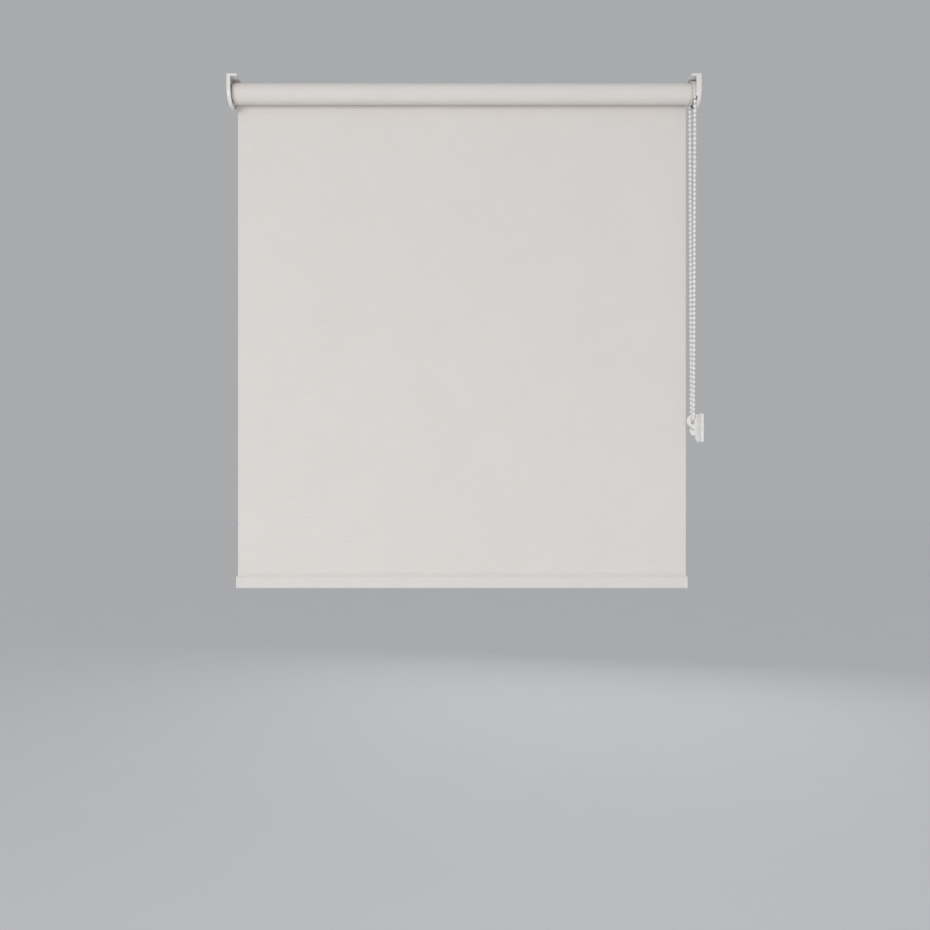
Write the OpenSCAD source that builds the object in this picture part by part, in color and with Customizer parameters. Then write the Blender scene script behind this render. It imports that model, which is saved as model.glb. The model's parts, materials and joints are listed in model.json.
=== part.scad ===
// Roller blind with a chain drive, held by two brackets under the top of a window recess.
// Row frame: X along the tube with the chain at +X, -Y into the room, +Z up. The origin is on
// the recess's ceiling, midway between the two brackets, straight above the tube's axis.

/* [Fabric] */
// Width of the fabric
fabric_w = 600; // [400:10:1200]
// Height from the ceiling to the bottom of the hem
drop = 674; // [540:1:1400]
// Length of fabric left on the tube
wound_len = 430; // [100:10:700]
// Thickness of the fabric
fabric_t = 0.28; // [0.2:0.02:0.4]

/* [Tube] */
// Outer diameter of the tube
tube_d = 23; // [22.6:0.1:24]
// Wall of the tube
tube_wall = 1; // [0.8:0.1:1]

/* [Brackets] */
// Depth of the tube's axis below the ceiling
axis_drop = 18; // [17.6:0.1:20]
// Radius of the round end of a bracket with its cover
cover_r = 19.6; // [19:0.1:22]
// Length of a bracket's top flange, from its outer face inwards
flange_len = 13.5; // [12:0.5:16]
// Spacing of the two ceiling holes in a bracket
hole_pitch = 24; // [20:1:26]
// Diameter of the ceiling holes
hole_d = 4.2; // [3.5:0.1:4.5]
// Diameter of their countersinks
hole_sink_d = 6.6; // [5:0.1:7]

/* [Chain] */
// Distance between bead centres
bead_pitch = 6; // [6]
// Diameter of a bead
bead_d = 4.5; // [4.2:0.1:4.5]
// Number of bead pockets round the chain wheel
wheel_pockets = 13; // [13]
// Number of beads in the endless chain
bead_count = 151; // [121:1:201]

/* [Safety clip] */
// Wall thickness of the clip's base plate
clip_plate_t = 3; // [2.5:0.1:4]
// Spacing of the clip's two screw holes
clip_hole_pitch = 18.6; // [18:0.1:20]
// Diameter of the clip's screw holes
clip_hole_d = 4.4; // [3.5:0.1:4.5]
// Diameter of their countersinks
clip_sink_d = 6.8; // [5:0.1:7]

/* [Hem] */
// Height of the flat bar in the hem
hem_bar_h = 16; // [14:1:24]
// Thickness of the flat bar in the hem
hem_bar_t = 5; // [5:0.5:7]

/* [Hidden] */
$fn = 64;
eps = 0.01;
// Length by which a cutting shape stands past what it cuts.
over = 1;
// Larger than the part in every direction across the tube.
far = 40;

white_metal = "#e4e1dd";
white_plastic = "#e8e6e2";
cloth = "#d8d3cf";
raw_metal = "#b9bcc0";
grey_plastic = "#cac9c6";

// Along X. The fabric is off centre, because the clutch is wider than the idle end.
axis_z = -axis_drop;
left_allowance = 6.6;
right_allowance = 12.4;
right_out = (fabric_w + left_allowance + right_allowance) / 2;
left_out = -right_out;
fabric_x0 = left_out + left_allowance;
fabric_x1 = right_out - right_allowance;
cover_wall = 1.2;
steel_t = 1.8;
flange_t = steel_t;
left_plate_in = left_out + cover_wall + steel_t;
right_plate_in = right_out - cover_wall - steel_t;

// Brackets
rim_wall = 1.4;
rim_in_r = cover_r - rim_wall;
steel_r = rim_in_r - 0.05;
edge_r = 0.9;
bend_r = 2.6;
lip_h = 3;
tray_t = 0.7;
tray_y = 8.5;
tray_x0 = cover_wall + steel_t + 0.2;
left_rim_depth = 5;
right_rim_depth = 7;
right_rim_low = 4.8;
rim_step_z = -27.5;
hole_x = right_out - flange_len + 5.5;
hole_sink_h = 1.2;

// Tube and roll
tube_r = tube_d / 2;
tube_in = tube_r - tube_wall;
tube_x0 = fabric_x0 - 0.2;
tube_x1 = fabric_x1 + 0.2;
rib_h = 1.2;
rib_w = 1.4;
rib_root = 0.6;
plug_gap = 0.1;
tape_t = 0.15;
tape_arc = 55;
tape_inset = 4;
wound_gap = 0.02;
roll_r = sqrt(tube_r * tube_r + wound_len * fabric_t / PI);
collar_r = 12.9;

// Chain and its wheel
bead_r = bead_d / 2;
cord_r = 0.6;
wheel_pitch_r = wheel_pockets * bead_pitch / (2 * PI);
wheel_r = 13.9;
wheel_w = 4.2;
wheel_root_r = 10.9;
pocket_floor = wheel_pitch_r - bead_r - 0.1;
pocket_depth = 5;
pocket_floor_r = bead_r + 0.1;
pocket_mouth_r = bead_r + 0.7;
cord_groove_w = 1.8;
chain_x = right_out - 7.2;
wheel_x0 = chain_x - wheel_w / 2;
turn_links = 3;
turn_r = turn_links * bead_pitch / PI;
clip_wall_x = right_out + 4.8;
flag_t = 3;
flag_y = 6.5;
turn_x = clip_wall_x - 9.7;
turn_y = flag_y + flag_t / 2;
wheel_arc = PI * wheel_pitch_r;
turn_arc = PI * turn_r;
strand_len = (bead_count * bead_pitch - wheel_arc - turn_arc) / 2;
turn_z = axis_z - strand_len + 0.2;
back_top = [chain_x, wheel_pitch_r, axis_z];
front_top = [chain_x, -wheel_pitch_r, axis_z];
back_low = [turn_x, turn_y + turn_r, turn_z];
front_low = [turn_x, turn_y - turn_r, turn_z];

// Clutch
spindle_flange_r = 11.6;
spindle_flange_t = 1.7;
wheel_journal_r = 7;
spring_core_r = 5.5;
nose_r = 4;
nose_out = 2;
running_gap = 0.05;
spring_wire_r = 0.45;
spring_turns = 6;
spring_len = 6.2;
spring_tang_r = 7.7;
spring_x = [for (i = [0 : 2]) fabric_x1 - 8.6 - i * (spring_len + 0.9)];
finger_in_r = 7.15;
finger_out_r = 8.2;
finger_arc = 130;
key_in_r = 6.8;
key_arc = 140;
driver_in_r = 8.5;
driver_len = 38;
driver_collar_t = 1.8;
driver_end_t = 2;
driver_x0 = tube_x1 - driver_len;
spindle_in_x = right_plate_in - spindle_flange_t;
journal_over = 1;
nose_over = 1;
lug_y = 8.6;
lug_r = 1.2;
lug_short = 0.2;
screw_r = 1.9;
screw_gap = 0.2;
screw_head_r = 3.6;
screw_len = 15;
screw_slot_w = 0.7;
screw_slot_h = 1;
screw_bore = 18;
screw_sink = 0.1;
key_len = 32;
key_root = 0.2;
tang_clear = 8;

// Chain guard
guard_r = 15.8;
guard_wall = 1.1;
guard_in_wall = 0.7;
guard_in_r = 10.6;
guard_leg_z = -27;
guard_step = 1.2;
bend_clear = 0.5;
rim_clear = 0.3;
guard_x0 = tube_x1 + driver_collar_t + 0.2;

// Idle end
pin_tip_r = 2.5;
pin_chamfer = 0.4;
pin_body_r = 4;
pin_body_len = 12;
pin_x0 = left_plate_in - 1.4;
pin_shoulder_x = tube_x0 - 0.1;
pin_end_x = pin_shoulder_x + pin_body_len;
plug_len = 40;
plug_collar_t = 1.3;
pin_spring_end_x = tube_x0 + plug_len - 4;
pin_spring_r = pin_body_r - 0.6;
pin_spring_wire_r = 0.4;
pin_spring_turns = 16;
bush_r = 5;
bush_collar_r = 9;
bush_collar_t = 1.9;

// Safety clip: the flag, in the middle of its plate's back half, carries the eye
eye_r = 8.7;
eye_x = clip_wall_x - 8.4;
eye_top_wall = 3.9;
eye_slot_w = 5;
eye_slot_h = 9.4;
eye_slot_top = turn_z - turn_r + bead_r + 0.5;
eye_z = eye_slot_top + eye_top_wall - eye_r;
clip_in_x = clip_wall_x - clip_plate_t;
plate_half_w = 10.5;
plate_top = eye_z + eye_r;
plate_h = 37.4;
plate_low = plate_top - plate_h;
plate_corner_r = 2.5;
clip_hole_z = [plate_top - 14, plate_top - 14 - clip_hole_pitch];
clip_sink_h = 1.2;
slit_w = 1.8;
slit_len = 14;
slit_tilt = -25;
flag_root = 0.5;
fin_x = clip_in_x - 2.6;

// Hem: the fabric hangs from the back of the roll
drop_y = roll_r + 0.1 + fabric_t / 2;
hem_in_gap = 0.1;
pocket_in_t = hem_bar_t + 2 * hem_in_gap;
pocket_in_h = hem_bar_h + 2 * hem_in_gap;
pocket_out_h = pocket_in_h + 2 * fabric_t;
pocket_z = -drop + pocket_out_h / 2;
seam_h = 8;
seam_top_z = pocket_z + pocket_out_h / 2 + seam_h;
bar_wall = 1;
bar_inset = 1.5;
cap_t = 1.5;
cap_lip = 0.5;
cap_plug_len = 12;

// Shapes that repeat

// Turns children so that their +Z runs along +X, with their own zero at x on the tube's axis.
module on_axis(x) translate([x, 0, axis_z]) rotate([0, 90, 0]) children();

// Extrudes a Y-Z outline from x along +X.
module along_x(x, len) translate([x, 0, 0]) rotate([90, 0, 90]) linear_extrude(height = len) children();

// Extrudes an X-Z outline from y along +Y.
module along_y(y, len) translate([0, y + len, 0]) rotate([90, 0, 0]) linear_extrude(height = len) children();

module ring(x, len, r_out, r_in) on_axis(x) difference() {
    cylinder(h = len, r = r_out);
    translate([0, 0, -over]) cylinder(h = len + 2 * over, r = r_in);
}

module disc(x, len, r) on_axis(x) cylinder(h = len, r = r);

// Outline with straight sides up to the ceiling and a round lower end, in Y and Z.
module shield(r) {
    translate([0, axis_z]) circle(r = r);
    translate([-r, axis_z]) square([2 * r, axis_drop]);
}

// Oval with two round ends, upright, centred.
module oval(h, t) {
    for (s = [-1, 1]) translate([0, s * (h - t) / 2]) circle(r = t / 2);
    square([t, h - t], center = true);
}

// Wall of a ring's sector, arc degrees wide and centred on the direction mid, from x along +X.
module sector(x, len, r_in, r_out, mid, arc) on_axis(x) rotate([0, 0, mid - arc / 2])
    rotate_extrude(angle = arc, $fn = 96) translate([r_in, 0]) square([r_out - r_in, len]);

// Brackets

// Steel L at the left: a plate with a round lower end and a flange under the ceiling, bent round.
module steel_l() {
    x0 = left_out + cover_wall;
    intersection() {
        along_y(-steel_r, 2 * steel_r) {
            translate([x0, -bend_r - far]) square([steel_t, far]);
            translate([x0 + bend_r, -flange_t]) square([flange_len - cover_wall - bend_r, flange_t]);
            intersection() {
                translate([x0 + bend_r, -bend_r]) difference() {
                    circle(r = bend_r);
                    circle(r = bend_r - steel_t);
                }
                translate([x0, -bend_r]) square([bend_r, bend_r]);
            }
        }
        along_x(x0, flange_len) shield(steel_r);
    }
}

// Countersunk from below.
module ceiling_holes(x) for (s = [-1, 1]) translate([x, s * hole_pitch / 2, -flange_t]) {
    translate([0, 0, -over]) cylinder(h = flange_t + 2 * over, r = hole_d / 2);
    translate([0, 0, -eps]) cylinder(h = hole_sink_h, r1 = hole_sink_d / 2, r2 = hole_d / 2);
}

// Wall of a cover between two distances from its outer face, with a rounded outer edge, as a half section.
module cover_section(depth) {
    difference() {
        square([cover_r, depth]);
        translate([-over, cover_wall]) square([rim_in_r + over, depth]);
        translate([cover_r - edge_r, 0]) difference() {
            translate([0, -over]) square([edge_r + over, edge_r + over]);
            translate([0, edge_r]) circle(r = edge_r);
        }
    }
}

// Cover with its outer face at x = 0 and its open side towards +X.
module cover_shell(depth) {
    on_axis(0) rotate([0, 0, -90]) rotate_extrude(angle = 180, $fn = 96) cover_section(depth);
    translate([0, 0, axis_z]) linear_extrude(height = axis_drop) for (s = [0, 1])
        mirror([0, s, 0]) rotate(90) mirror([0, 1, 0]) cover_section(depth);
}

// Lip over each end of the flange, front and back, with a tray under it that hides the screw.
module flange_trays(depth) for (s = [0, 1]) mirror([0, s, 0]) {
    translate([depth - eps, rim_in_r, -lip_h]) cube([flange_len - depth + eps, rim_wall, lip_h]);
    translate([tray_x0, tray_y, -lip_h]) cube([flange_len - tray_x0, rim_in_r + eps - tray_y, tray_t]);
}

module left_bracket() color(white_metal) difference() {
    steel_l();
    ceiling_holes(-hole_x);
    disc(left_out, flange_len, bush_r);
}

module left_bracket_cover() color(white_plastic) translate([left_out, 0, 0]) {
    cover_shell(left_rim_depth);
    flange_trays(left_rim_depth);
}

module right_bracket() color(white_metal) difference() {
    mirror([1, 0, 0]) steel_l();
    ceiling_holes(hole_x);
    disc(right_plate_in - over, steel_t + 2 * over, screw_r + screw_gap);
    on_axis(right_plate_in + screw_sink)
        cylinder(h = steel_t, r1 = screw_r + screw_gap, r2 = screw_head_r + 0.3);
    for (s = [-1, 1]) translate([0, s * lug_y, 0])
        disc(right_plate_in - over, steel_t + 2 * over, lug_r + running_gap);
}

// The right cover is deeper above the chain slot than below it.
module right_bracket_cover() color(white_plastic) translate([right_out, 0, 0]) mirror([1, 0, 0]) {
    difference() {
        cover_shell(right_rim_depth);
        translate([right_rim_low, -far, rim_step_z - far]) cube([right_rim_depth, 2 * far, far]);
    }
    flange_trays(right_rim_depth);
}

// Idle end

// Plastic bush in the left bracket, with a collar against the plate.
module idle_bearing() color(white_plastic) difference() {
    union() {
        disc(left_plate_in - steel_t + 0.1, steel_t, bush_r - running_gap);
        disc(left_plate_in, bush_collar_t, bush_collar_r);
    }
    disc(left_plate_in - steel_t - over, steel_t + bush_collar_t + 2 * over, pin_tip_r + running_gap);
}

// Four key ribs run along the tube's bore.
module rib_outline(extra) for (a = [0 : 90 : 270]) rotate([0, 0, a])
    translate([tube_in - rib_h - extra, -rib_w / 2 - extra])
        square([rib_h + 2 * extra + rib_root, rib_w + 2 * extra]);

module tube_outline() {
    difference() {
        circle(r = tube_r, $fn = 96);
        circle(r = tube_in, $fn = 96);
    }
    intersection() {
        rib_outline(0);
        circle(r = tube_in + rib_root / 2, $fn = 96);
    }
}

// Outline of a plug that slides into the tube past its ribs.
module plug_outline() difference() {
    circle(r = tube_in - plug_gap, $fn = 96);
    rib_outline(plug_gap);
}

// Plug in the tube's left end, bored for the sprung pin.
module idle_plug() color(grey_plastic) difference() {
    union() {
        disc(tube_x0 - plug_collar_t, plug_collar_t, collar_r);
        on_axis(tube_x0) linear_extrude(height = plug_len) plug_outline();
    }
    disc(tube_x0 - plug_collar_t - over, plug_collar_t + 2 * over, pin_tip_r + running_gap);
    disc(pin_shoulder_x, pin_spring_end_x - pin_shoulder_x, pin_body_r + running_gap);
}

module idle_pin() color(raw_metal) {
    disc(pin_x0 + pin_chamfer, pin_shoulder_x - pin_x0, pin_tip_r);
    on_axis(pin_x0) cylinder(h = pin_chamfer, r1 = pin_tip_r - pin_chamfer, r2 = pin_tip_r);
    disc(pin_shoulder_x, pin_body_len, pin_body_r);
}

// Coil drawn as touching rings round one sleeve, along the axis from x.
module coil(x, len, turns, mid_r, wire_r) {
    pitch = (len - 2 * wire_r) / (turns - 1);
    on_axis(x) rotate_extrude($fn = 64) union() {
        for (i = [0 : turns - 1]) translate([mid_r, wire_r + i * pitch]) circle(r = wire_r, $fn = 24);
        translate([mid_r - wire_r / 3, wire_r]) square([wire_r / 1.5, len - 2 * wire_r]);
    }
}

module pin_spring() color(raw_metal)
    coil(pin_end_x, pin_spring_end_x - pin_end_x, pin_spring_turns, pin_spring_r, pin_spring_wire_r);

// Clutch

// Fixed core: a flange on the bracket's plate, a journal for the wheel, a core for the springs, a nose.
module clutch_spindle() color(grey_plastic) difference() {
    union() {
        disc(spindle_in_x, spindle_flange_t, spindle_flange_r);
        disc(wheel_x0 - journal_over, spindle_in_x - wheel_x0 + journal_over, wheel_journal_r);
        disc(driver_x0 + driver_end_t, wheel_x0 - driver_x0 - driver_end_t, spring_core_r);
        disc(driver_x0 - nose_out, nose_out + driver_end_t + nose_over, nose_r);
        for (s = [-1, 1]) translate([0, s * lug_y, 0])
            disc(spindle_in_x, spindle_flange_t + steel_t - lug_short, lug_r);
    }
    disc(right_plate_in - screw_bore, screw_bore + over, screw_r + running_gap);
}

module spindle_screw() color(raw_metal) difference() {
    union() {
        disc(right_plate_in - screw_len, screw_len + 2 * screw_sink, screw_r);
        on_axis(right_plate_in + screw_sink)
            cylinder(h = steel_t - 1.5 * screw_sink, r1 = screw_r, r2 = screw_head_r);
    }
    on_axis(right_plate_in + steel_t - screw_slot_h) for (a = [0, 90]) rotate([0, 0, a])
        translate([-screw_head_r / 2, -screw_slot_w / 2, 0])
            cube([screw_head_r, screw_slot_w, screw_slot_h + over]);
}

// Wheel with a pocket for each bead and a sleeve finger that frees the springs.
module chain_wheel() color(white_plastic) {
    difference() {
        disc(wheel_x0, wheel_w, wheel_r);
        disc(wheel_x0 - over, wheel_w + 2 * over, wheel_journal_r + running_gap);
        ring(chain_x - cord_groove_w / 2, cord_groove_w, wheel_r + over, wheel_root_r);
        for (i = [0 : wheel_pockets - 1]) on_axis(chain_x) rotate([0, 0, 90 + i * 360 / wheel_pockets])
            translate([pocket_floor, 0, 0]) rotate([0, 90, 0])
                cylinder(h = pocket_depth, r1 = pocket_floor_r, r2 = pocket_mouth_r, $fn = 32);
    }
    sector(spring_x[2] - 1, wheel_x0 - spring_x[2] + 1.5, finger_in_r, finger_out_r, 0, finger_arc);
}

// Wrap spring on the core, with a tang at each end that stands up past the finger's edges.
module brake_spring(i) color(raw_metal) {
    x = spring_x[i];
    mid_r = spring_core_r + running_gap + spring_wire_r;
    coil(x, spring_len, spring_turns, mid_r, spring_wire_r);
    for (e = [0, 1]) on_axis(x + spring_wire_r + e * (spring_len - 2 * spring_wire_r))
        rotate([0, 0, (e == 0 ? -1 : 1) * (finger_arc / 2 + tang_clear)])
            translate([mid_r, 0, 0]) rotate([0, 90, 0])
                cylinder(h = spring_tang_r - mid_r, r = spring_wire_r * 0.8, $fn = 24);
}

// Drum that turns the tube: keyed to its ribs, with a collar at the fabric's edge and, inside,
// a key that the springs' tangs push round.
module clutch_driver() color(grey_plastic) {
    difference() {
        union() {
            disc(tube_x1, driver_collar_t, collar_r);
            on_axis(driver_x0) linear_extrude(height = driver_len) plug_outline();
        }
        disc(driver_x0 + driver_end_t, driver_len, driver_in_r);
        disc(driver_x0 - over, driver_end_t + 2 * over, nose_r + running_gap);
    }
    sector(driver_x0 + driver_end_t, key_len, key_in_r, driver_in_r + key_root, 180, key_arc);
}

// Guard over the chain wheel: an arch with straight legs and an inner wall, open below.
module guard_outline(r) {
    translate([0, axis_z]) circle(r = r);
    translate([-r, guard_leg_z]) square([2 * r, axis_z - guard_leg_z]);
}

module chain_guard() color(white_plastic) difference() {
    along_x(guard_x0, right_plate_in - guard_x0) guard_outline(guard_r);
    along_x(guard_x0 + guard_in_wall, flange_len) guard_outline(guard_r - guard_wall);
    disc(guard_x0 - over, guard_in_wall + 2 * over, guard_in_r);
    // Clear of the bracket's bend.
    translate([right_plate_in - guard_step, -far, -bend_r - bend_clear]) cube([flange_len, 2 * far, far]);
    // Open below, from the legs' ends on.
    translate([guard_x0 + guard_in_wall, -far, guard_leg_z - far]) cube([flange_len, 2 * far, far]);
    // The legs stay short of the cover's rim.
    translate([spindle_in_x - rim_clear, -far, axis_z - far]) cube([flange_len, 2 * far, far]);
}

// Tube and fabric

module roller_tube() color(raw_metal)
    on_axis(tube_x0) linear_extrude(height = tube_x1 - tube_x0) tube_outline();

module tape_solid(grow) sector(fabric_x0 + tape_inset - grow, fabric_w - 2 * tape_inset + 2 * grow,
    tube_r + wound_gap / 2, tube_r + wound_gap / 2 + tape_t + grow, 90, tape_arc + 2 * grow);

// Tape that holds the fabric's top end to the tube.
module fixing_tape() color(white_plastic) tape_solid(0);

// Turns of fabric on the tube, as one closed ring.
module fabric_roll() color(cloth) difference() {
    ring(fabric_x0, fabric_w, roll_r, tube_r + wound_gap);
    tape_solid(0.02);
}

module fabric_drop() color(cloth) translate([fabric_x0, drop_y - fabric_t / 2, seam_top_z])
    cube([fabric_w, fabric_t, axis_z - seam_top_z]);

// Hem

// Sleeve of fabric round the bar, with the doubled seam above it.
module hem_pocket() color(cloth) along_x(fabric_x0, fabric_w) translate([drop_y, pocket_z]) {
    difference() {
        union() {
            oval(pocket_out_h, pocket_in_t + 2 * fabric_t);
            translate([-fabric_t, 0]) square([2 * fabric_t, seam_h + pocket_out_h / 2]);
        }
        oval(pocket_in_h, pocket_in_t);
    }
}

module hem_bar() color(raw_metal) along_x(fabric_x0 + bar_inset, fabric_w - 2 * bar_inset)
    translate([drop_y, pocket_z]) difference() {
        oval(hem_bar_h, hem_bar_t);
        oval(hem_bar_h - 2 * bar_wall, hem_bar_t - 2 * bar_wall);
    }

// End cap with its inner face at x = 0, plugged into the bar towards +X.
module hem_cap() {
    along_x(-cap_t, cap_t) oval(pocket_out_h + 2 * cap_lip, pocket_in_t + 2 * fabric_t + 2 * cap_lip);
    along_x(-0.1, cap_plug_len) oval(hem_bar_h - 2 * bar_wall - 0.1, hem_bar_t - 2 * bar_wall - 0.1);
}

module hem_cap_left() color(white_plastic) translate([fabric_x0, drop_y, pocket_z]) hem_cap();

module hem_cap_right() color(white_plastic) translate([fabric_x1, drop_y, pocket_z])
    mirror([1, 0, 0]) hem_cap();

// Chain

function mix(a, b, t) = a + (b - a) * t;

// Place on the loop at a distance s from the back of the wheel, over it and down the front run.
function on_loop(s) =
    s < wheel_arc ?
        let (a = 180 * s / wheel_arc)
        [chain_x, wheel_pitch_r * cos(a), axis_z + wheel_pitch_r * sin(a)] :
    s < wheel_arc + strand_len ?
        mix(front_top, front_low, (s - wheel_arc) / strand_len) :
    s < wheel_arc + strand_len + turn_arc ?
        let (a = 180 * (s - wheel_arc - strand_len) / turn_arc)
        [turn_x, turn_y - turn_r * cos(a), turn_z - turn_r * sin(a)] :
        mix(back_low, back_top, (s - wheel_arc - turn_arc - strand_len) / strand_len);

module rod(a, b, r) {
    d = b - a;
    translate(a) rotate([0, acos(d[2] / norm(d)), atan2(d[1], d[0])]) cylinder(h = norm(d), r = r, $fn = 24);
}

// Half turn of the chain's cord in Y and Z, over the top.
module half_turn(r) rotate([90, 0, 90]) rotate_extrude(angle = 180, $fn = 96)
    translate([r, 0]) circle(r = cord_r, $fn = 24);

module bead_chain() color(white_plastic) union() {
    translate([chain_x, 0, axis_z]) half_turn(wheel_pitch_r);
    translate([turn_x, turn_y, turn_z]) rotate([180, 0, 0]) half_turn(turn_r);
    rod(front_top, front_low, cord_r);
    rod(back_top, back_low, cord_r);
    for (i = [0 : bead_count - 1]) translate(on_loop(i * bead_pitch)) sphere(r = bead_r, $fn = 32);
}

// Safety clip on the side wall: the chain's lower turn passes through its eye.

module rounded_rect(w, h, r) {
    for (x = [r, w - r], y = [r, h - r]) translate([x, y]) circle(r = r);
    translate([r, 0]) square([w - 2 * r, h]);
    translate([0, r]) square([w, h - 2 * r]);
}

// Flag that carries the eye, in X and Z, with the slit that lets the chain in.
module flag_outline() difference() {
    union() {
        intersection() {
            translate([eye_x, eye_z]) circle(r = eye_r);
            translate([clip_in_x + flag_root - far, eye_z - far]) square([far, 2 * far]);
        }
        polygon([[eye_x, plate_top], [clip_in_x + flag_root, plate_top],
                 [clip_in_x + flag_root, plate_low + 1], [fin_x, plate_low + 3],
                 [fin_x, eye_z - 20.2], [eye_x + 0.4, eye_z - 19.4], [eye_x - 2.4, eye_z - 19.4],
                 [eye_x - 5, eye_z - 13.4], [eye_x - 3.5, eye_z - 7.4]]);
    }
    translate([turn_x - eye_slot_w / 2, eye_slot_top - eye_slot_h]) square([eye_slot_w, eye_slot_h]);
    translate([eye_x + 0.4, eye_z - 12.2]) rotate(slit_tilt)
        translate([-slit_len, -slit_w / 2]) square([slit_len, slit_w]);
}

module safety_clip() color(white_plastic) difference() {
    union() {
        along_x(clip_in_x, clip_plate_t) translate([-plate_half_w, plate_low])
            rounded_rect(2 * plate_half_w, plate_h, plate_corner_r);
        along_y(flag_y, flag_t) flag_outline();
    }
    for (z = clip_hole_z) translate([clip_in_x, 0, z]) rotate([0, 90, 0]) {
        translate([0, 0, -over]) cylinder(h = clip_plate_t + 2 * over, r = clip_hole_d / 2);
        translate([0, 0, -eps]) cylinder(h = clip_sink_h, r1 = clip_sink_d / 2, r2 = clip_hole_d / 2);
    }
}

left_bracket();
left_bracket_cover();
idle_bearing();
right_bracket();
right_bracket_cover();
chain_guard();
clutch_spindle();
spindle_screw();
chain_wheel();
brake_spring(0);  // brake_spring_1
brake_spring(1);  // brake_spring_2
brake_spring(2);  // brake_spring_3
clutch_driver();
roller_tube();
fixing_tape();
fabric_roll();
idle_plug();
idle_pin();
pin_spring();
fabric_drop();
hem_pocket();
hem_bar();
hem_cap_left();
hem_cap_right();
bead_chain();
safety_clip();
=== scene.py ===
"""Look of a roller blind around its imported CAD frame. Lengths are metres, in the frame's own axes."""

import json
import math

import bmesh
import bpy
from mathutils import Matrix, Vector


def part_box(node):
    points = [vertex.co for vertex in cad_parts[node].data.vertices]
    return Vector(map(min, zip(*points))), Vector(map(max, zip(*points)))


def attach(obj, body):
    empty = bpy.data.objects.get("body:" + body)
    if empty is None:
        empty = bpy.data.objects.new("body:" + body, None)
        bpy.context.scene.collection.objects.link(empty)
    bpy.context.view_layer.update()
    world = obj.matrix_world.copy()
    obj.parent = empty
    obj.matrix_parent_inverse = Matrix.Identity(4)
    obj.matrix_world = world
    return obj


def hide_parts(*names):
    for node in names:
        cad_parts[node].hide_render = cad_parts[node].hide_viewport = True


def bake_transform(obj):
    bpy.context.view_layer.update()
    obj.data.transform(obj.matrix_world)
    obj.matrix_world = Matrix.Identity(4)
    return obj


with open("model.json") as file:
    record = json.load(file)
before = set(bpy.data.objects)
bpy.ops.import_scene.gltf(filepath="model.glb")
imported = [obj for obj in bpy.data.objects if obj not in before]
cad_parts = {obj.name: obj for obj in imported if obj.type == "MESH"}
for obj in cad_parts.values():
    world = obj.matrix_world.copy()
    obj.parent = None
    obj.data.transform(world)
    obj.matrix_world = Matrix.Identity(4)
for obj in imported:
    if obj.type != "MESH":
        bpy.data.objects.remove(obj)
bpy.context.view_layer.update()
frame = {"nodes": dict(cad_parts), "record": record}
nodes = frame["nodes"]

MM = 0.001

# Cloth: the fabric hangs from the back of the roll, and its top end is wound on the tube.
CLOTH_T = 0.28 * MM
CLOTH_UV = "cloth"
OUTER_PITCH = CLOTH_T + 0.02 * MM
INNER_GAP = 0.005 * MM
ROLL_GAP = 0.03 * MM
WELD_BELOW_TOP = 2.2 * MM
WELD_END = 4.2 * MM
WELD_RAMP = 0.3 * MM
WELD_DEPTH = 0.05 * MM
THREAD = 0.4 * MM
SHARP = math.radians(50)

# The hanging sheet takes in OUTER_TURN of a turn round the roll, and has a row of points STILL_BELOW_ROLL
# below the roll.
OUTER_TURN = 0.955
STILL_BELOW_ROLL = 1 * MM

# Columns across the cloth, and steps along its curves.
DROP_COLUMNS = 60
ROLL_COLUMNS = 12
TURN_STEPS = 72
BAR_END_STEPS = 16
BAR_LEAD_STEPS = 8

# Camera: level, a little left of the middle and near the blind's lower third.
CAMERA_AT = (-0.00275, -1.1085, -0.533)
LENS = 32.4
SENSOR = 36.0
SHIFT = (0.0032, 0.0194)
VIEW_FAR = 200.0

FLOOR_Z = -1.9
FLOOR_SIZE = 60.0

# Lamps: place, aim, size, watts and colour. The key stands below the roll, so the roll's shadow stays thin.
MIDDLE = (0, 0, -0.33)
LAMPS = (
    ("key", (-1.5, -2.7, -0.4), MIDDLE, (2.0, 1.4), 37, (1.0, 0.985, 0.965)),
    ("fill", (2.2, -2.0, -0.1), MIDDLE, (1.8, 1.4), 5, (0.97, 0.98, 1.0)),
    ("low_fill", (0.2, -2.0, -0.98), (0, 0, -0.05), (2.4, 0.4), 9.5, (1.0, 0.99, 0.98)),
    ("back_fill", (1.0, 5.0, 0.6), MIDDLE, (4.0, 2.4), 26, (1.0, 0.99, 0.98)),
)
SKY_LIGHT = (0.455, 0.462, 0.473)
SKY_SEEN = (0.395, 0.402, 0.412)


# ---------------------------------------------------------------- node helpers


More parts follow.
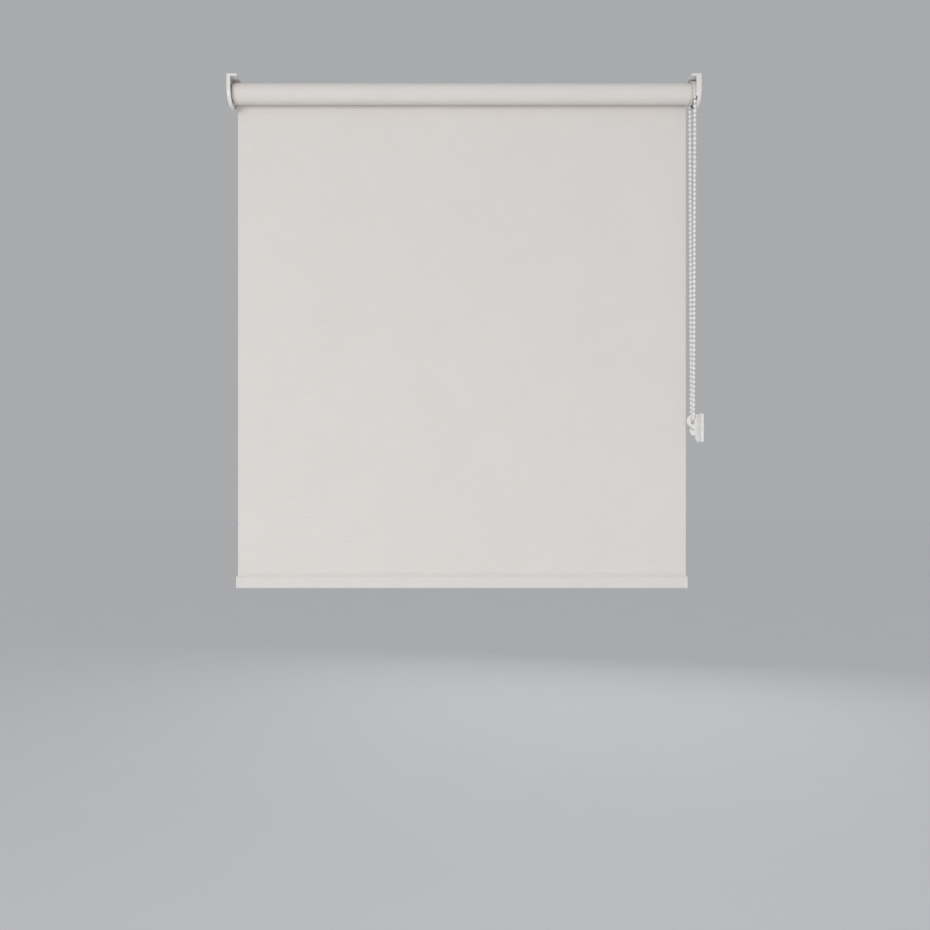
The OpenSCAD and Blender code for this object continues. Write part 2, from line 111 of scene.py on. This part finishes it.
class Shader:
    """One material's nodes: noise, maps and bumps added in mesh coordinates, in millimetres."""

    def __init__(self, name, base, roughness, **values):
        self.material = bpy.data.materials.new(name)
        self.material.use_nodes = True
        self.material.diffuse_color = (*base, 1)
        self.tree = self.material.node_tree
        self.bsdf = self.tree.nodes["Principled BSDF"]
        self.bsdf.inputs["Base Color"].default_value = (*base, 1)
        self.bsdf.inputs["Roughness"].default_value = roughness
        for socket, value in values.items():
            self.bsdf.inputs[socket.replace("_", " ")].default_value = value

    def add(self, kind, **settings):
        node = self.tree.nodes.new(kind)
        for key, value in settings.items():
            setattr(node, key, value)
        return node

    def link(self, a, b):
        self.tree.links.new(a, b)

    def coords(self, stretch=(1, 1, 1)):
        """Mesh position in millimetres, each axis times stretch."""
        source = self.add("ShaderNodeTexCoord")
        scale = self.add("ShaderNodeMapping")
        scale.inputs["Scale"].default_value = [s / MM for s in stretch]
        self.link(source.outputs["Object"], scale.inputs["Vector"])
        return scale.outputs["Vector"]

    def noise(self, grain, detail=2.0, stretch=(1, 1, 1), coords=None):
        """Noise whose blobs are about grain millimetres across."""
        node = self.add("ShaderNodeTexNoise")
        node.inputs["Scale"].default_value = 1 / grain
        node.inputs["Detail"].default_value = detail
        self.link(coords or self.coords(stretch), node.inputs["Vector"])
        return node.outputs["Fac"]

    def span(self, value, low, high, from_low=0.3, from_high=0.7):
        """Maps a value onto low to high."""
        node = self.add("ShaderNodeMapRange")
        node.inputs["From Min"].default_value = from_low
        node.inputs["From Max"].default_value = from_high
        node.inputs["To Min"].default_value = low
        node.inputs["To Max"].default_value = high
        self.link(value, node.inputs["Value"])
        return node.outputs["Result"]

    def math(self, operation, a, b=None):
        node = self.add("ShaderNodeMath", operation=operation)
        for socket, value in zip(node.inputs, (a, b)):
            if value is None:
                continue
            if isinstance(value, (int, float)):
                socket.default_value = value
            else:
                self.link(value, socket)
        return node.outputs["Value"]

    def tint(self, value, dark, light):
        """Colour between two, by value."""
        node = self.add("ShaderNodeMix", data_type="RGBA")
        # A Mix node has one pair of A and B for each data type, so the colour pair is found by type.
        colours = [s for s in node.inputs if s.type == "RGBA"]
        colours[0].default_value = (*dark, 1)
        colours[1].default_value = (*light, 1)
        self.link(value, node.inputs["Factor"])
        return [s for s in node.outputs if s.type == "RGBA"][0]

    def colour(self, value, dark, light):
        self.link(self.tint(value, dark, light), self.bsdf.inputs["Base Color"])

    def rough(self, value, low, high):
        self.link(self.span(value, low, high), self.bsdf.inputs["Roughness"])

    def bump(self, *layers):
        """Bumps one over another; each layer is (height, depth in metres)."""
        normal = None
        for height, depth in layers:
            node = self.add("ShaderNodeBump")
            node.inputs["Strength"].default_value = 1.0
            node.inputs["Distance"].default_value = depth
            self.link(height, node.inputs["Height"])
            if normal is not None:
                self.link(normal, node.inputs["Normal"])
            normal = node.outputs["Normal"]
        self.link(normal, self.bsdf.inputs["Normal"])


def shaded(colour, share):
    """The colour made darker, or lighter with a negative share."""
    return tuple(c * (1 - share) for c in colour)


# ---------------------------------------------------------------- materials


def moulded_plastic(name, base, roughness, glow=0.0):
    """Moulded plastic: fine eroded skin, faint flow marks, uneven gloss."""
    s = Shader(name, base, roughness, Specular_IOR_Level=0.5, IOR=1.49)
    if glow:
        s.bsdf.inputs["Subsurface Weight"].default_value = glow
        s.bsdf.inputs["Subsurface Radius"].default_value = (1.0, 0.95, 0.9)
        s.bsdf.inputs["Subsurface Scale"].default_value = 1.2 * MM
    s.colour(s.noise(14, 3), shaded(base, 0.035), shaded(base, -0.015))
    s.rough(s.noise(5, 4), roughness - 0.05, roughness + 0.07)
    s.bump((s.noise(0.35, 3), 0.012 * MM), (s.noise(6, 2), 0.03 * MM))
    return s.material


def coated_steel(name, base):
    """Powder coat with a soft orange peel, over pressed steel."""
    s = Shader(name, base, 0.42, Specular_IOR_Level=0.5, Coat_Weight=0.12, Coat_Roughness=0.25)
    s.colour(s.noise(9, 3), shaded(base, 0.03), shaded(base, -0.01))
    s.rough(s.noise(1.6, 3), 0.36, 0.5)
    s.bump((s.noise(0.9, 2), 0.03 * MM), (s.noise(0.22, 2), 0.008 * MM))
    return s.material


def bare_metal(name, base, roughness, grain_stretch):
    """Bare metal with fine lines left by drawing or turning."""
    s = Shader(name, base, roughness, Metallic=1.0)
    lines = s.noise(0.5, 4, grain_stretch)
    s.colour(s.noise(4, 3), shaded(base, 0.12), shaded(base, -0.03))
    s.rough(lines, roughness - 0.08, roughness + 0.12)
    s.bump((lines, 0.01 * MM))
    return s.material


def sticky_tape(name, base):
    """Translucent tape with a slightly wrinkled face."""
    s = Shader(name, base, 0.3, Subsurface_Weight=0.2, Subsurface_Scale=0.5 * MM)
    s.colour(s.noise(6, 3), shaded(base, 0.08), base)
    s.rough(s.noise(2, 3), 0.22, 0.42)
    s.bump((s.noise(3, 2, (0.3, 1, 1)), 0.04 * MM))
    return s.material


def woven_cloth(name, base):
    """Plain-woven polyester: threads over and under each other, uneven yarns, a soft sheen."""
    s = Shader(name, base, 0.82, Specular_IOR_Level=0.25, Sheen_Weight=0.12, Sheen_Roughness=0.45)
    cloth = s.add("ShaderNodeUVMap", uv_map=CLOTH_UV)
    drift = s.add("ShaderNodeTexNoise")
    drift.inputs["Scale"].default_value = 180
    drift.inputs["Detail"].default_value = 2
    s.link(cloth.outputs["UV"], drift.inputs["Vector"])
    wander = s.math("MULTIPLY", s.math("SUBTRACT", drift.outputs["Fac"], 0.5), 0.5 * THREAD)
    split = s.add("ShaderNodeSeparateXYZ")
    s.link(cloth.outputs["UV"], split.inputs["Vector"])

    def thread_wave(coordinate):
        shifted = s.math("ADD", coordinate, wander)
        return s.math("SINE", s.math("MULTIPLY", shifted, math.pi / THREAD))

    warp = thread_wave(split.outputs["X"])
    weft = thread_wave(split.outputs["Y"])
    over = s.span(s.math("MULTIPLY", warp, weft), 0, 1, -0.25, 0.25)
    under = s.math("SUBTRACT", 1, over)
    crown = s.math(
        "ADD",
        s.math("MULTIPLY", s.math("ABSOLUTE", warp), over),
        s.math("MULTIPLY", s.math("ABSOLUTE", weft), under),
    )
    millimetres = s.add("ShaderNodeMapping")
    millimetres.inputs["Scale"].default_value = (0.03 / MM, 1 / MM, 1)
    s.link(cloth.outputs["UV"], millimetres.inputs["Vector"])
    yarn = s.noise(0.8, 3, coords=millimetres.outputs["Vector"])
    broad = s.noise(70, 3)
    mottle = s.math("ADD", s.math("MULTIPLY", yarn, 0.75), s.math("MULTIPLY", broad, 0.25))
    s.colour(s.span(mottle, 0, 1, 0.35, 0.65), shaded(base, 0.035), shaded(base, -0.02))
    s.rough(yarn, 0.74, 0.9)
    s.bump((crown, 0.05 * MM), (yarn, 0.05 * MM), (s.noise(45, 2), 0.08 * MM))
    return s.material


def make_materials():
    """One material for each of the record's slots."""
    # Painted shade: the white plastic and the bracket coat are set darker than the chain's white, standing
    # in for the shade of the window recess they hang in.
    white_with_painted_shade = (0.73, 0.717, 0.70)
    return {
        "bracket_steel": coated_steel("coated_steel_white", (0.735, 0.72, 0.70)),
        "white_plastic": moulded_plastic("plastic_white", white_with_painted_shade, 0.38),
        "grey_plastic": moulded_plastic("plastic_grey", (0.68, 0.675, 0.66), 0.42),
        "zinc_steel": bare_metal("steel_zinc", (0.62, 0.63, 0.65), 0.34, (0.2, 1, 1)),
        "tube_aluminium": bare_metal("aluminium_drawn", (0.78, 0.78, 0.79), 0.4, (0.02, 1, 1)),
        "tape": sticky_tape("tape_clear", (0.82, 0.80, 0.74)),
        "blind_fabric": woven_cloth("fabric_woven", (0.705, 0.675, 0.65)),
        "chain_plastic": moulded_plastic("plastic_chain", (0.80, 0.79, 0.775), 0.28, glow=0.3),
        "clip_plastic": moulded_plastic("plastic_clip", (0.79, 0.78, 0.77), 0.3, glow=0.25),
    }


def paint_cad(materials):
    """Gives each CAD node the material of its own slot, from the record."""
    for row in frame["record"]["subparts"]:
        node = nodes[row["node"]]
        node.data.materials.clear()
        node.data.materials.append(materials[row["material_slot"]])


# ---------------------------------------------------------------- cloth


def path_lengths(path):
    """Distance along a path at each of its points."""
    run = [0.0]
    for (y0, z0), (y1, z1) in zip(path, path[1:]):
        run.append(run[-1] + math.hypot(y1 - y0, z1 - z0))
    return run


def offset(path, distance):
    """The path moved sideways, to its left, by distance."""
    moved = []
    for i, (y, z) in enumerate(path):
        before = path[max(i - 1, 0)]
        after = path[min(i + 1, len(path) - 1)]
        dy, dz = after[0] - before[0], after[1] - before[1]
        length = math.hypot(dy, dz)
        moved.append((y - dz / length * distance, z + dy / length * distance))
    return moved


def cloth_strip(name, path, x0, x1, columns, material):
    """Closed sheet from x0 to x1 whose section follows path, with cut edges and a UV map in metres."""
    rows = len(path)
    run = path_lengths(path)
    xs = [x0 + (x1 - x0) * i / columns for i in range(columns + 1)]
    faces_of_cloth = [offset(path, CLOTH_T / 2), offset(path, -CLOTH_T / 2)]
    points = [(x, y, z) for x in xs for face in faces_of_cloth for y, z in face]

    def at(column, face, row):
        return (2 * column + face) * rows + row

    quads = []
    low = rows - 1
    for i in range(columns):
        for j in range(rows - 1):
            quads.append((at(i, 0, j), at(i + 1, 0, j), at(i + 1, 0, j + 1), at(i, 0, j + 1)))
            quads.append((at(i, 1, j), at(i, 1, j + 1), at(i + 1, 1, j + 1), at(i + 1, 1, j)))
        quads.append((at(i, 0, 0), at(i, 1, 0), at(i + 1, 1, 0), at(i + 1, 0, 0)))
        quads.append((at(i, 0, low), at(i + 1, 0, low), at(i + 1, 1, low), at(i, 1, low)))
    for j in range(rows - 1):
        quads.append((at(0, 0, j), at(0, 0, j + 1), at(0, 1, j + 1), at(0, 1, j)))
        quads.append(
            (at(columns, 0, j), at(columns, 1, j), at(columns, 1, j + 1), at(columns, 0, j + 1))
        )

    mesh = bpy.data.meshes.new(name)
    mesh.from_pydata(points, [], quads)
    layer = mesh.uv_layers.new(name=CLOTH_UV)
    for loop in mesh.loops:
        column, rest = divmod(loop.vertex_index, 2 * rows)
        layer.data[loop.index].uv = (xs[column] - x0, run[rest % rows])
    smooth_with_sharp_edges(mesh)
    mesh.materials.append(material)
    obj = bpy.data.objects.new(name, mesh)
    bpy.context.scene.collection.objects.link(obj)
    return obj


def smooth_with_sharp_edges(mesh):
    """Smooth faces, with the cut edges of the cloth kept sharp."""
    bm = bmesh.new()
    bm.from_mesh(mesh)
    for face in bm.faces:
        face.smooth = True
    for edge in bm.edges:
        edge.smooth = edge.calc_face_angle(0) < SHARP
    bm.to_mesh(mesh)
    bm.free()


def spiral(centre_z, turn_start, turn_end, r_start, pitch):
    """Points of a spiral round the tube's axis. Turns count from the back, over the top to the front."""
    steps = round(abs(turn_end - turn_start) * TURN_STEPS)
    points = []
    for i in range(steps + 1):
        turn = turn_start + (turn_end - turn_start) * i / steps
        r = r_start - pitch * turn
        a = 2 * math.pi * turn
        points.append((r * math.cos(a), centre_z + r * math.sin(a)))
    return points


def make_drop(material):
    """Hanging fabric with the roll's outermost turn."""
    drop_lo, drop_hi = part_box("fabric_drop")
    roll_lo, roll_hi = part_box("fabric_roll")
    axis_z = (roll_lo.z + roll_hi.z) / 2
    drop_y = (drop_lo.y + drop_hi.y) / 2
    wrap = spiral(axis_z, OUTER_TURN, 0, drop_y, OUTER_PITCH)
    still_z = roll_lo.z - STILL_BELOW_ROLL
    path = wrap + [(drop_y, still_z), (drop_y, drop_lo.z)]
    obj = cloth_strip("hanging_fabric", path, drop_lo.x, drop_hi.x, DROP_COLUMNS, material)
    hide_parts("fabric_drop")
    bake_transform(obj)


def make_roll(material):
    """The turns wound on the tube, inside the outermost one."""
    roll_lo, roll_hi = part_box("fabric_roll")
    tube_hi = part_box("roller_tube")[1]
    drop_lo, drop_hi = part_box("fabric_drop")
    axis_z = (roll_lo.z + roll_hi.z) / 2
    drop_y = (drop_lo.y + drop_hi.y) / 2
    r_outer = drop_y - OUTER_PITCH - CLOTH_T - ROLL_GAP
    r_inner = tube_hi.z - axis_z + CLOTH_T / 2 + ROLL_GAP
    pitch = CLOTH_T + INNER_GAP
    turns = (r_outer - r_inner) / pitch
    path = spiral(axis_z, 0, turns, r_outer, pitch)
    obj = cloth_strip("wound_fabric", path, roll_lo.x, roll_hi.x, ROLL_COLUMNS, material)
    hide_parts("fabric_roll")
    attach(obj, "roller")


def make_hem(material):
    """Sleeve round the bar: one strip, down in front, round the bar and up behind, welded at its top."""
    lo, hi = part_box("hem_pocket")
    bar_lo, bar_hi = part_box("hem_bar")
    middle = (lo.y + hi.y) / 2
    half = (hi.y - lo.y) / 2 - CLOTH_T / 2
    low_end = (middle, bar_lo.z + (bar_hi.y - bar_lo.y) / 2)
    high_end = (middle, bar_hi.z - (bar_hi.y - bar_lo.y) / 2)
    behind = middle + CLOTH_T + ROLL_GAP
    weld_end = hi.z - WELD_END
    front = seam_points(middle, hi.z, -1) + arc_from(high_end, half, (middle, weld_end), math.pi)
    bottom = arc(low_end, half, math.pi, 2 * math.pi, BAR_END_STEPS)
    back = seam_points(behind, hi.z, 1) + arc_from(high_end, half, (behind, weld_end), 0)
    path = front + bottom + back[::-1]
    obj = cloth_strip("hem_sleeve", path, lo.x, hi.x, DROP_COLUMNS, material)
    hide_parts("hem_pocket")
    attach(obj, "hem")


def seam_points(y, top_z, side):
    """One layer of the seam, from its top edge down past the weld, pressed in on its outer side."""
    weld_z = top_z - WELD_BELOW_TOP
    pressed = y - side * WELD_DEPTH
    return [
        (y, top_z),
        (y, weld_z),
        (pressed, weld_z - WELD_RAMP),
        (pressed, top_z - WELD_END + WELD_RAMP),
        (y, top_z - WELD_END),
    ]


def arc(centre, r, start, end, steps):
    """Points on a round end of the bar, as angles from the back, over the top."""
    angles = [start + (end - start) * i / steps for i in range(steps + 1)]
    return [(centre[0] + r * math.cos(a), centre[1] + r * math.sin(a)) for a in angles]


def arc_from(centre, r, point, end):
    """Arc of a round end that cloth drawn tight from a point above lies on, down to the angle end."""
    dy, dz = point[0] - centre[0], point[1] - centre[1]
    swing = math.acos(r / math.hypot(dy, dz))
    upright = math.atan2(dz, dy)
    start = upright + swing if end > upright else upright - swing
    return arc(centre, r, start, end, BAR_LEAD_STEPS)


# ---------------------------------------------------------------- stage


def make_camera():
    """Level camera, shifted so that the blind sits high in the frame."""
    data = bpy.data.cameras.new("camera")
    data.lens = LENS
    data.sensor_width = SENSOR
    data.shift_x, data.shift_y = SHIFT
    data.clip_end = VIEW_FAR
    camera = bpy.data.objects.new("camera", data)
    camera.location = CAMERA_AT
    camera.rotation_euler = (math.radians(90), 0, 0)
    bpy.context.scene.collection.objects.link(camera)
    bpy.context.scene.camera = camera


def area_light(name, at, aim, size, power, colour):
    """Soft lamp, itself out of the camera's sight."""
    data = bpy.data.lights.new(name, "AREA")
    data.shape = "RECTANGLE"
    data.size, data.size_y = size
    data.energy = power
    data.color = colour
    light = bpy.data.objects.new(name, data)
    light.location = at
    light.visible_camera = False
    direction = [b - a for a, b in zip(at, aim)]
    light.rotation_mode = "QUATERNION"
    light.rotation_quaternion = Vector(direction).to_track_quat("-Z", "Y")
    bpy.context.scene.collection.objects.link(light)


def make_sky(tree):
    """Even light from all round. The camera sees the far floor's tone, so that no horizon shows."""
    light = tree.nodes["Background"]
    light.inputs["Color"].default_value = (*SKY_LIGHT, 1)
    seen = tree.nodes.new("ShaderNodeBackground")
    seen.inputs["Color"].default_value = (*SKY_SEEN, 1)
    ray = tree.nodes.new("ShaderNodeLightPath")
    pick = tree.nodes.new("ShaderNodeMixShader")
    tree.links.new(ray.outputs["Is Camera Ray"], pick.inputs["Fac"])
    tree.links.new(light.outputs["Background"], pick.inputs[1])
    tree.links.new(seen.outputs["Background"], pick.inputs[2])
    tree.links.new(pick.outputs["Shader"], tree.nodes["World Output"].inputs["Surface"])


def make_stage():
    """Plain pale floor and soft lamps."""
    mesh = bpy.data.meshes.new("floor")
    half = FLOOR_SIZE / 2
    corners = [(x * half, y * half, FLOOR_Z) for x, y in ((-1, -1), (1, -1), (1, 1), (-1, 1))]
    mesh.from_pydata(corners, [], [(0, 1, 2, 3)])
    floor = bpy.data.objects.new("floor", mesh)
    s = Shader("floor_paint", (0.84, 0.845, 0.85), 0.8)
    s.colour(s.noise(400, 2), (0.83, 0.835, 0.84), (0.85, 0.855, 0.86))
    mesh.materials.append(s.material)
    bpy.context.scene.collection.objects.link(floor)
    world = bpy.data.worlds.new("studio")
    world.use_nodes = True
    make_sky(world.node_tree)
    bpy.context.scene.world = world
    for name, at, aim, size, power, colour in LAMPS:
        area_light(name, at, aim, size, power, colour)
    bpy.context.scene.view_settings.view_transform = "Standard"


# ---------------------------------------------------------------- build

make_camera()
make_stage()
MATERIALS = make_materials()
paint_cad(MATERIALS)
make_roll(MATERIALS["blind_fabric"])
make_drop(MATERIALS["blind_fabric"])
make_hem(MATERIALS["blind_fabric"])
